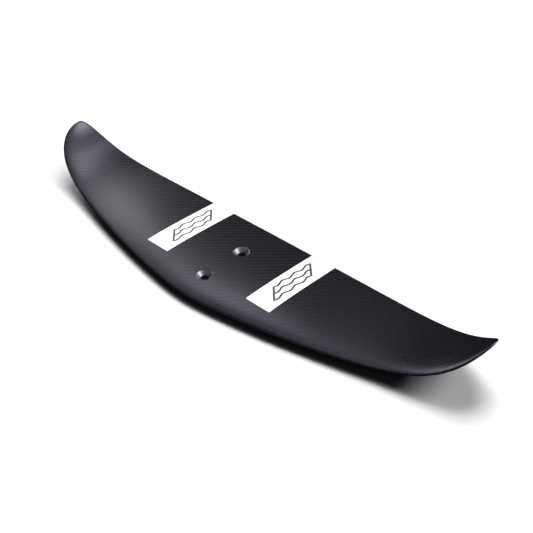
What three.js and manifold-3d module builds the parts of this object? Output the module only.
// A moulded carbon tail wing for a hydrofoil: a shallow cambered section, upswept tips, and two countersunk
// holes by which it is bolted down onto the foil's fuselage. It is a sandwich of two twill skins over foam
// cores, with flat spar caps, a tow in the nose and a solid block where the bolts clamp.
//
// Millimetres. +X runs along the span, +Y from the leading edge to the trailing edge, +Z up. The origin lies
// on the seat face that rests on the fuselage, half-way between the two bolt holes.
import * as THREE from "three";
import { mergeVertices } from "three/addons/utils/BufferGeometryUtils.js";
import Module from "manifold-3d";

const wasm = await Module();
wasm.setup();

// ---- Driving dimensions ----

const HALF_SPAN = 220;
const LEADING_ROOT_Y = -44.5; // leading edge at the root
const TRAILING_ROOT_Y = 54.9; // trailing edge at the root
const TIP_Y = 34; // where the two edges meet, at the tip
const APEX_ROUNDING = 0.12; // share of the half span over which the swept leading edges blend at the root

const SEAT_TO_CHORD = 5.7; // height of the chord line above the seat, at the root
const GENTLE_RISE = 5.2; // slight dihedral of the whole wing
const TIP_RISE = 27.5; // upswept tips

const HALF_THICKNESS = 4.2; // at the thickest point of the root section
const CAMBER = 0.54; // the section bulges downwards, as a tail wing's does
const TRAILING_HALF = 0.45; // half the thickness of the squared-off trailing edge
const TIP_EDGE_HALF = 0.9; // added towards the tips, whose edges stay blunt
const SKIN = 0.9; // three plies of laminate
const TIP_SKIN = 2.4; // more plies fill the tips, which are solid
const TIP_SKIN_FROM = 0.8; // share of the half span where the skins begin to thicken
const TIP_SKIN_FULL = 0.92;
const GLUE_GAP = 0.3; // bond line between neighbouring pieces

const BOLT_Y = 20; // the bolt holes stand at -BOLT_Y and +BOLT_Y
const BOLT_BORE_R = 3.3; // clearance hole of an M6 bolt
const SLEEVE_R = 4.6;
const RIM_R = 6.7; // outside of the ferrule's countersunk head
const MOUTH_R = 6.2; // widest radius of the 90 degree countersink
const HEAD_EDGE = 0.8; // height of the head's straight edge
const RIM_SET_DOWN = 0.5; // depth of the rim below the laminate
const HOLE_PAST = 2; // the ferrules' holes are cut past the laminate by this

const SEAT_HALF_WIDTH = 14;
const SEAT_HALF_LENGTH = 35;
const SEAT_CORNER_R = 8;

const BLOCK_HALF_WIDTH = 16;
const BLOCK_FRONT_Y = -35;
const BLOCK_REAR_Y = 38;

const TOW_FRONT = 3; // distances behind the leading edge
const TOW_REAR = 8;
const TOW_END = 0.79; // share of the half span

const CORE_FRONT = 8.4; // behind the leading edge
const CORE_END = 0.83; // share of the half span
const CORE_REAR = 0.84; // share of the chord, at the root
const CORE_REAR_SWEEP = 0.28;

const SPAR_CENTRE = 0.32; // share of the chord, about the thickest point
const SPAR_END = 0.72; // share of the half span
const SPAR_THICKNESS = 0.6;
const SPAR_ROOT_WIDTH = 28;
const SPAR_END_WIDTH = 10;

const BAND_INNER_X = 43.5;
const BAND_OUTER_X = 67;
const BAND_FRONT_Y = -19.1;
const BAND_REAR_MARGIN = 0.3; // stops just short of the trailing edge
const FILM_GAP = 0.1; // under each printed film
const BAND_FILM = 0.15;

const EMBLEM_Y = 19; // its middle
const EMBLEM_LENGTH = 41;
const EMBLEM_WIDTH = 11; // between the middles of its outer lines
const EMBLEM_SLANT = 1; // its ends lean over by this much for each unit of width
const EMBLEM_STROKE = 1.8;
const EMBLEM_FILM = 0.1;
const WAVE_LENGTH = EMBLEM_LENGTH / 3;
const WAVE_HEIGHT = 0.9;

const SPAN_STEPS = 20; // stations in one half of the wing, closer together towards the tip
const CHORD_STEPS = 14;
const CORE_STEPS = 10;
const STRIP_STEPS = 5;
const WAVE_STEPS = 28;
const ROUND_STEPS = 32;
const CORNER_STEPS = 6;
const SAME_PLACE = 0.005; // stations nearer than this share of the half span are one
const WELD = 1e-4; // vertices nearer than this are one

// ---- The wing's surfaces, for a span fraction s from -1 (left tip) to +1 (right tip) ----

const SPAN_FALL = Math.PI / 2 / SPAN_STEPS;
const STATIONS = Array.from({ length: 2 * SPAN_STEPS + 1 }, (_, i) => Math.sin((i - SPAN_STEPS) * SPAN_FALL));
STATIONS[0] = -1;
STATIONS[2 * SPAN_STEPS] = 1;

// Distance of an edge from the tip's line, shrinking to nothing at the tip along a rounded outline.
function fullness(a, apex, second, fourth, eighth) {
  const kink = apex * (Math.hypot(a, APEX_ROUNDING) - APEX_ROUNDING);
  return Math.sqrt(1 - a * a) * (1 + kink + second * a ** 2 + fourth * a ** 4 + eighth * a ** 8);
}

function leadingEdge(s) {
  return TIP_Y + (LEADING_ROOT_Y - TIP_Y) * fullness(Math.abs(s), -0.405, 0.29, -0.162, 0.484);
}

function trailingEdge(s) {
  return TIP_Y + (TRAILING_ROOT_Y - TIP_Y) * fullness(Math.abs(s), 0, 0.29, 0.103, 0.448);
}

function chord(s) {
  return trailingEdge(s) - leadingEdge(s);
}

function rise(s) {
  const a = Math.abs(s);
  return GENTLE_RISE * a ** 2.6 + TIP_RISE * a ** 9.5;
}

// The angle by which the wing's surface leans inwards at that station.
function cant(s) {
  const a = Math.abs(s);
  const slope = (2.6 * GENTLE_RISE * a ** 1.6 + 9.5 * TIP_RISE * a ** 8.5) / HALF_SPAN;
  return Math.atan(slope) * Math.sign(s);
}

// A point at a share xi of the chord behind the leading edge, and h above the chord surface, square to it.
function wingPoint(s, xi, h) {
  const angle = cant(s);
  return [
    HALF_SPAN * s - h * Math.sin(angle),
    THREE.MathUtils.lerp(leadingEdge(s), trailingEdge(s), xi),
    SEAT_TO_CHORD + rise(s) + h * Math.cos(angle),
  ];
}

// The section grows thinner a little faster than it grows shorter.
const thinning = (s) => (chord(s) / chord(0)) ** 1.1;

// Camber line, bulging downwards.
const middle = (s, xi) => -4 * CAMBER * xi * (1 - xi) * thinning(s);

// Half the section's thickness: a round nose, thickest at 0.3 of the chord, with a squared-off trailing edge.
// Towards the tips a blunt edge is added all round.
function halfThickness(s, xi) {
  const nose = 2.969 * Math.sqrt(xi) - 1.26 * xi - 3.516 * xi ** 2 + 2.843 * xi ** 3 - 1.036 * xi ** 4;
  const edge = (4 * xi * (1 - xi)) ** 0.35;
  return (
    HALF_THICKNESS * thinning(s) * nose +
    TRAILING_HALF * thinning(s) ** 0.4 * xi +
    TIP_EDGE_HALF * s ** 6 * thinning(s) ** 0.3 * edge
  );
}

const upperOuter = (s, xi) => middle(s, xi) + halfThickness(s, xi);
const lowerOuter = (s, xi) => middle(s, xi) - halfThickness(s, xi);

function skin(s) {
  return SKIN + (TIP_SKIN - SKIN) * THREE.MathUtils.smoothstep(Math.abs(s), TIP_SKIN_FROM, TIP_SKIN_FULL);
}

// The skins meet at the camber line, where the section is too thin to hold a core.
const halfGap = (s, xi) => Math.min(GLUE_GAP / 2, halfThickness(s, xi) / 4);
const upperInner = (s, xi) => Math.max(middle(s, xi) + halfGap(s, xi), upperOuter(s, xi) - skin(s));
const lowerInner = (s, xi) => Math.min(middle(s, xi) - halfGap(s, xi), lowerOuter(s, xi) + skin(s));

const cavityTop = (s, xi) => upperInner(s, xi) - GLUE_GAP;
const cavityFloor = (s, xi) => lowerInner(s, xi) + GLUE_GAP;

// Share of the chord at a distance behind the leading edge, and at a place along Y.
const behindNose = (distance) => (s) => distance / chord(s);
const atY = (y) => (s) => (y - leadingEdge(s)) / chord(s);

// ---- Turning surfaces into solids ----

// The wing's own stations between two places, with those places as the first and the last.
function stationsBetween(first, last) {
  return [first, ...STATIONS.filter((s) => s > first + SAME_PLACE && s < last - SAME_PLACE), last];
}

// A closed geometry between two height surfaces, over a patch of the wing.
function panel({ stations, front, rear, steps = CHORD_STEPS, top, bottom }) {
  const rows = stations.length;
  const columns = steps + 1;
  const positions = [];
  for (const height of [top, bottom]) {
    for (const s of stations) {
      for (let j = 0; j < columns; j++) {
        const share = (1 - Math.cos((Math.PI * j) / steps)) / 2;
        const xi = THREE.MathUtils.lerp(front(s), rear(s), share);
        positions.push(...wingPoint(s, xi, height(s, xi)));
      }
    }
  }
  const at = (side, i, j) => (side * rows + i) * columns + j;
  const index = [];
  const quad = (a, b, c, d) => index.push(a, b, c, a, c, d);
  for (let i = 0; i + 1 < rows; i++) {
    for (let j = 0; j < steps; j++) {
      quad(at(0, i, j), at(0, i + 1, j), at(0, i + 1, j + 1), at(0, i, j + 1));
      quad(at(1, i, j), at(1, i, j + 1), at(1, i + 1, j + 1), at(1, i + 1, j));
    }
    quad(at(1, i, 0), at(1, i + 1, 0), at(0, i + 1, 0), at(0, i, 0));
    quad(at(0, i, steps), at(0, i + 1, steps), at(1, i + 1, steps), at(1, i, steps));
  }
  for (let j = 0; j < steps; j++) {
    quad(at(0, 0, j), at(0, 0, j + 1), at(1, 0, j + 1), at(1, 0, j));
    quad(at(1, rows - 1, j), at(1, rows - 1, j + 1), at(0, rows - 1, j + 1), at(0, rows - 1, j));
  }
  const geometry = new THREE.BufferGeometry();
  geometry.setAttribute("position", new THREE.Float32BufferAttribute(positions, 3));
  geometry.setIndex(index);
  return geometry;
}

// A solid for cutting and joining, from a closed geometry, without the faces that shrink away at the tips.
function solidOf(geometry) {
  const bare = new THREE.BufferGeometry();
  bare.setAttribute("position", geometry.getAttribute("position"));
  bare.setIndex(geometry.index);
  const merged = mergeVertices(bare, WELD);
  const corners = merged.index.array;
  const triVerts = [];
  for (let i = 0; i < corners.length; i += 3) {
    const [a, b, c] = corners.slice(i, i + 3);
    if (a !== b && b !== c && c !== a) triVerts.push(a, b, c);
  }
  const vertProperties = merged.getAttribute("position").array;
  const mesh = new wasm.Mesh({ numProp: 3, vertProperties, triVerts: new Uint32Array(triVerts) });
  return new wasm.Manifold(mesh);
}

function geometryOf(solid) {
  const { vertProperties, triVerts } = solid.getMesh();
  const geometry = new THREE.BufferGeometry();
  geometry.setAttribute("position", new THREE.BufferAttribute(vertProperties, 3));
  geometry.setIndex(new THREE.BufferAttribute(triVerts, 1));
  return geometry;
}

const whole = { stations: STATIONS, front: () => 0, rear: () => 1 };

// ---- Bolt ferrules ----

// The laminate's top surface over a bolt hole.
function topAt(y) {
  return wingPoint(0, atY(y)(0), upperOuter(0, atY(y)(0)))[2];
}

// A solid turned about a bolt's axis, from a closed profile of [radius, height] points.
function turned(y, profile) {
  const points = profile.map(([r, z]) => new THREE.Vector2(r, z));
  return new THREE.LatheGeometry(points, ROUND_STEPS).rotateX(Math.PI / 2).translate(0, y, 0);
}

// A bush with a countersunk bore and a conical head that the laminate holds.
function ferrule(y) {
  const rim = topAt(y) - RIM_SET_DOWN;
  const shoulder = rim - HEAD_EDGE;
  return turned(y, [
    [SLEEVE_R, 0],
    [SLEEVE_R, shoulder - (RIM_R - SLEEVE_R)],
    [RIM_R, shoulder],
    [RIM_R, rim],
    [MOUTH_R, rim],
    [BOLT_BORE_R, rim - (MOUTH_R - BOLT_BORE_R)],
    [BOLT_BORE_R, 0],
    [SLEEVE_R, 0],
  ]);
}

// The hole that holds a ferrule, with the bond line around it.
function ferruleHole(y) {
  const shoulder = topAt(y) - RIM_SET_DOWN - HEAD_EDGE - GLUE_GAP;
  const top = topAt(y) + HOLE_PAST;
  return turned(y, [
    [0, -HOLE_PAST],
    [SLEEVE_R + GLUE_GAP, -HOLE_PAST],
    [SLEEVE_R + GLUE_GAP, shoulder - (RIM_R - SLEEVE_R)],
    [RIM_R + GLUE_GAP, shoulder],
    [RIM_R + GLUE_GAP, top],
    [0, top],
  ]);
}

const ferruleHoles = [-BOLT_Y, BOLT_Y].map((y) => solidOf(ferruleHole(y)));

function withoutFerrules(solid) {
  return ferruleHoles.reduce((left, hole) => left.subtract(hole), solid);
}

// ---- Skins ----

function upperSkin() {
  return geometryOf(withoutFerrules(solidOf(panel({ ...whole, top: upperOuter, bottom: upperInner }))));
}

// The flat seat that rests on the fuselage, moulded into the lower skin as a low saddle.
function seatPad() {
  const x = SEAT_HALF_WIDTH - SEAT_CORNER_R;
  const y = SEAT_HALF_LENGTH - SEAT_CORNER_R;
  const quarter = Math.PI / 2;
  const outline = new THREE.Shape();
  outline.absarc(x, y, SEAT_CORNER_R, 0, quarter);
  outline.absarc(-x, y, SEAT_CORNER_R, quarter, 2 * quarter);
  outline.absarc(-x, -y, SEAT_CORNER_R, 2 * quarter, 3 * quarter);
  outline.absarc(x, -y, SEAT_CORNER_R, 3 * quarter, 4 * quarter);
  const upright = { depth: SEAT_TO_CHORD, bevelEnabled: false, curveSegments: CORNER_STEPS };
  const block = new THREE.ExtrudeGeometry(outline, upright);
  const reach = (2 * SEAT_HALF_WIDTH) / HALF_SPAN;
  const underWing = panel({
    stations: stationsBetween(-reach, reach),
    front: atY(BLOCK_FRONT_Y),
    rear: atY(BLOCK_REAR_Y),
    top: (s, xi) => lowerOuter(s, xi) + SKIN / 2,
    bottom: () => -2 * SEAT_TO_CHORD,
  });
  return solidOf(block).intersect(solidOf(underWing));
}

function lowerSkin() {
  const shell = solidOf(panel({ ...whole, top: lowerInner, bottom: lowerOuter }));
  return geometryOf(withoutFerrules(shell.add(seatPad())));
}

// ---- What the skins hold ----

// A flat strip of unidirectional laminate under a skin. It is grown on all sides when it cuts its own groove.
function sparCap(side, grown = 0) {
  const end = SPAR_END + grown / HALF_SPAN;
  const width = (s) => THREE.MathUtils.lerp(SPAR_ROOT_WIDTH, SPAR_END_WIDTH, Math.abs(s) / SPAR_END);
  const half = (s) => width(s) / 2 + grown;
  const outer = side > 0 ? cavityTop : cavityFloor;
  const near = (s, xi) => outer(s, xi) + side * 2 * grown;
  const far = (s, xi) => outer(s, xi) - side * (SPAR_THICKNESS + grown);
  return solidOf(
    panel({
      stations: stationsBetween(-end, end),
      front: (s) => SPAR_CENTRE - half(s) / chord(s),
      rear: (s) => SPAR_CENTRE + half(s) / chord(s),
      steps: STRIP_STEPS,
      top: side > 0 ? near : far,
      bottom: side > 0 ? far : near,
    }),
  );
}

const sparGrooves = [1, -1].map((side) => sparCap(side, GLUE_GAP));

function withoutSpars(solid) {
  return sparGrooves.reduce((left, groove) => left.subtract(groove), solid);
}

function mountingBlock() {
  const edge = BLOCK_HALF_WIDTH / HALF_SPAN;
  const block = panel({
    stations: stationsBetween(-edge, edge),
    front: atY(BLOCK_FRONT_Y),
    rear: atY(BLOCK_REAR_Y),
    steps: CORE_STEPS,
    top: cavityTop,
    bottom: cavityFloor,
  });
  return geometryOf(withoutFerrules(withoutSpars(solidOf(block))));
}

// The foam core of one half of the wing. Its rear edge sweeps forward as the wing thins.
function core(side) {
  const root = (BLOCK_HALF_WIDTH + GLUE_GAP) / HALF_SPAN;
  const foam = panel({
    stations: side > 0 ? stationsBetween(root, CORE_END) : stationsBetween(-CORE_END, -root),
    front: behindNose(CORE_FRONT),
    rear: (s) => CORE_REAR - CORE_REAR_SWEEP * s * s,
    steps: CORE_STEPS,
    top: cavityTop,
    bottom: cavityFloor,
  });
  return geometryOf(withoutSpars(solidOf(foam)));
}

// The bundle of carbon tow that fills the nose from tip to tip.
function leadingEdgeTow() {
  return geometryOf(
    solidOf(
      panel({
        stations: stationsBetween(-TOW_END, TOW_END),
        front: behindNose(TOW_FRONT),
        rear: behindNose(TOW_REAR),
        steps: STRIP_STEPS,
        top: cavityTop,
        bottom: cavityFloor,
      }),
    ),
  );
}

// ---- White bands on the upper skin ----

function band(side) {
  const near = (side > 0 ? BAND_INNER_X : -BAND_OUTER_X) / HALF_SPAN;
  const far = (side > 0 ? BAND_OUTER_X : -BAND_INNER_X) / HALF_SPAN;
  return geometryOf(
    solidOf(
      panel({
        stations: stationsBetween(near, far),
        front: atY(BAND_FRONT_Y),
        rear: (s) => 1 - BAND_REAR_MARGIN / chord(s),
        top: (s, xi) => upperOuter(s, xi) + FILM_GAP + BAND_FILM,
        bottom: (s, xi) => upperOuter(s, xi) + FILM_GAP,
      }),
    ),
  );
}

// ---- Emblems on the bands: a strip of outlined waves ----

// A closed outline from one wavy line of the emblem to another, grown on all sides or, below zero, shrunk.
function waveLoop(low, high, grown) {
  const reach = EMBLEM_LENGTH / 2 + grown;
  const point = (line, outwards, step) => {
    const along = THREE.MathUtils.lerp(-reach, reach, step / WAVE_STEPS);
    const wave = WAVE_HEIGHT * Math.sin((2 * Math.PI * along) / WAVE_LENGTH);
    return new THREE.Vector2(along + EMBLEM_SLANT * line, line + outwards + wave);
  };
  const steps = Array.from({ length: WAVE_STEPS + 1 }, (_, step) => step);
  const lower = steps.map((step) => point(low, -grown, step));
  const upper = steps.reverse().map((step) => point(high, grown, step));
  return [...lower, ...upper];
}

// Two wavy cells in one outline, draped over the band. The left one is turned about, to be read from behind.
function emblem(side) {
  const half = EMBLEM_WIDTH / 2;
  const line = EMBLEM_STROKE / 2;
  const outline = new THREE.Shape(waveLoop(-half, half, line));
  outline.holes.push(new THREE.Path(waveLoop(-half, 0, -line)));
  outline.holes.push(new THREE.Path(waveLoop(0, half, -line)));
  const film = new THREE.ExtrudeGeometry(outline, { depth: EMBLEM_FILM, bevelEnabled: false });
  const place = film.getAttribute("position");
  for (let i = 0; i < place.count; i++) {
    const s = (side * (BAND_INNER_X + BAND_OUTER_X)) / 2 / HALF_SPAN - (side * place.getY(i)) / HALF_SPAN;
    const xi = atY(EMBLEM_Y + side * place.getX(i))(s);
    const height = upperOuter(s, xi) + BAND_FILM + 2 * FILM_GAP + place.getZ(i);
    place.setXYZ(i, ...wingPoint(s, xi, height));
  }
  return geometryOf(solidOf(film));
}

// ---- Materials ----

function material(color, roughness, metalness) {
  return new THREE.MeshStandardMaterial({ color, roughness, metalness, flatShading: true });
}

const twillCarbon = material(0x1c1b20, 0.45, 0);
const plainCarbon = material(0x18181a, 0.6, 0);
const foamCore = material(0xd8cfae, 0.9, 0);
const glassLaminate = material(0x9aa06a, 0.7, 0);
const stainless = material(0x8e8d92, 0.3, 1);
const whitePrint = material(0xf4f4f4, 0.5, 0);
const blackPrint = material(0x111111, 0.5, 0);

// ---- Assembly ----

const wing = new THREE.Group();

function add(name, geometry, finish) {
  const mesh = new THREE.Mesh(geometry, finish);
  mesh.name = name;
  wing.add(mesh);
}

add("upper_skin", upperSkin(), twillCarbon);
add("lower_skin", lowerSkin(), twillCarbon);
add("left_foam_core", core(-1), foamCore);
add("right_foam_core", core(1), foamCore);
add("mounting_block", mountingBlock(), glassLaminate);
add("upper_spar_cap", geometryOf(withoutFerrules(sparCap(1))), plainCarbon);
add("lower_spar_cap", geometryOf(withoutFerrules(sparCap(-1))), plainCarbon);
add("leading_edge_tow", leadingEdgeTow(), plainCarbon);
add("front_bolt_ferrule", ferrule(-BOLT_Y), stainless);
add("rear_bolt_ferrule", ferrule(BOLT_Y), stainless);
add("left_white_band", band(-1), whitePrint);
add("right_white_band", band(1), whitePrint);
add("left_emblem", emblem(-1), blackPrint);
add("right_emblem", emblem(1), blackPrint);

export default wing;
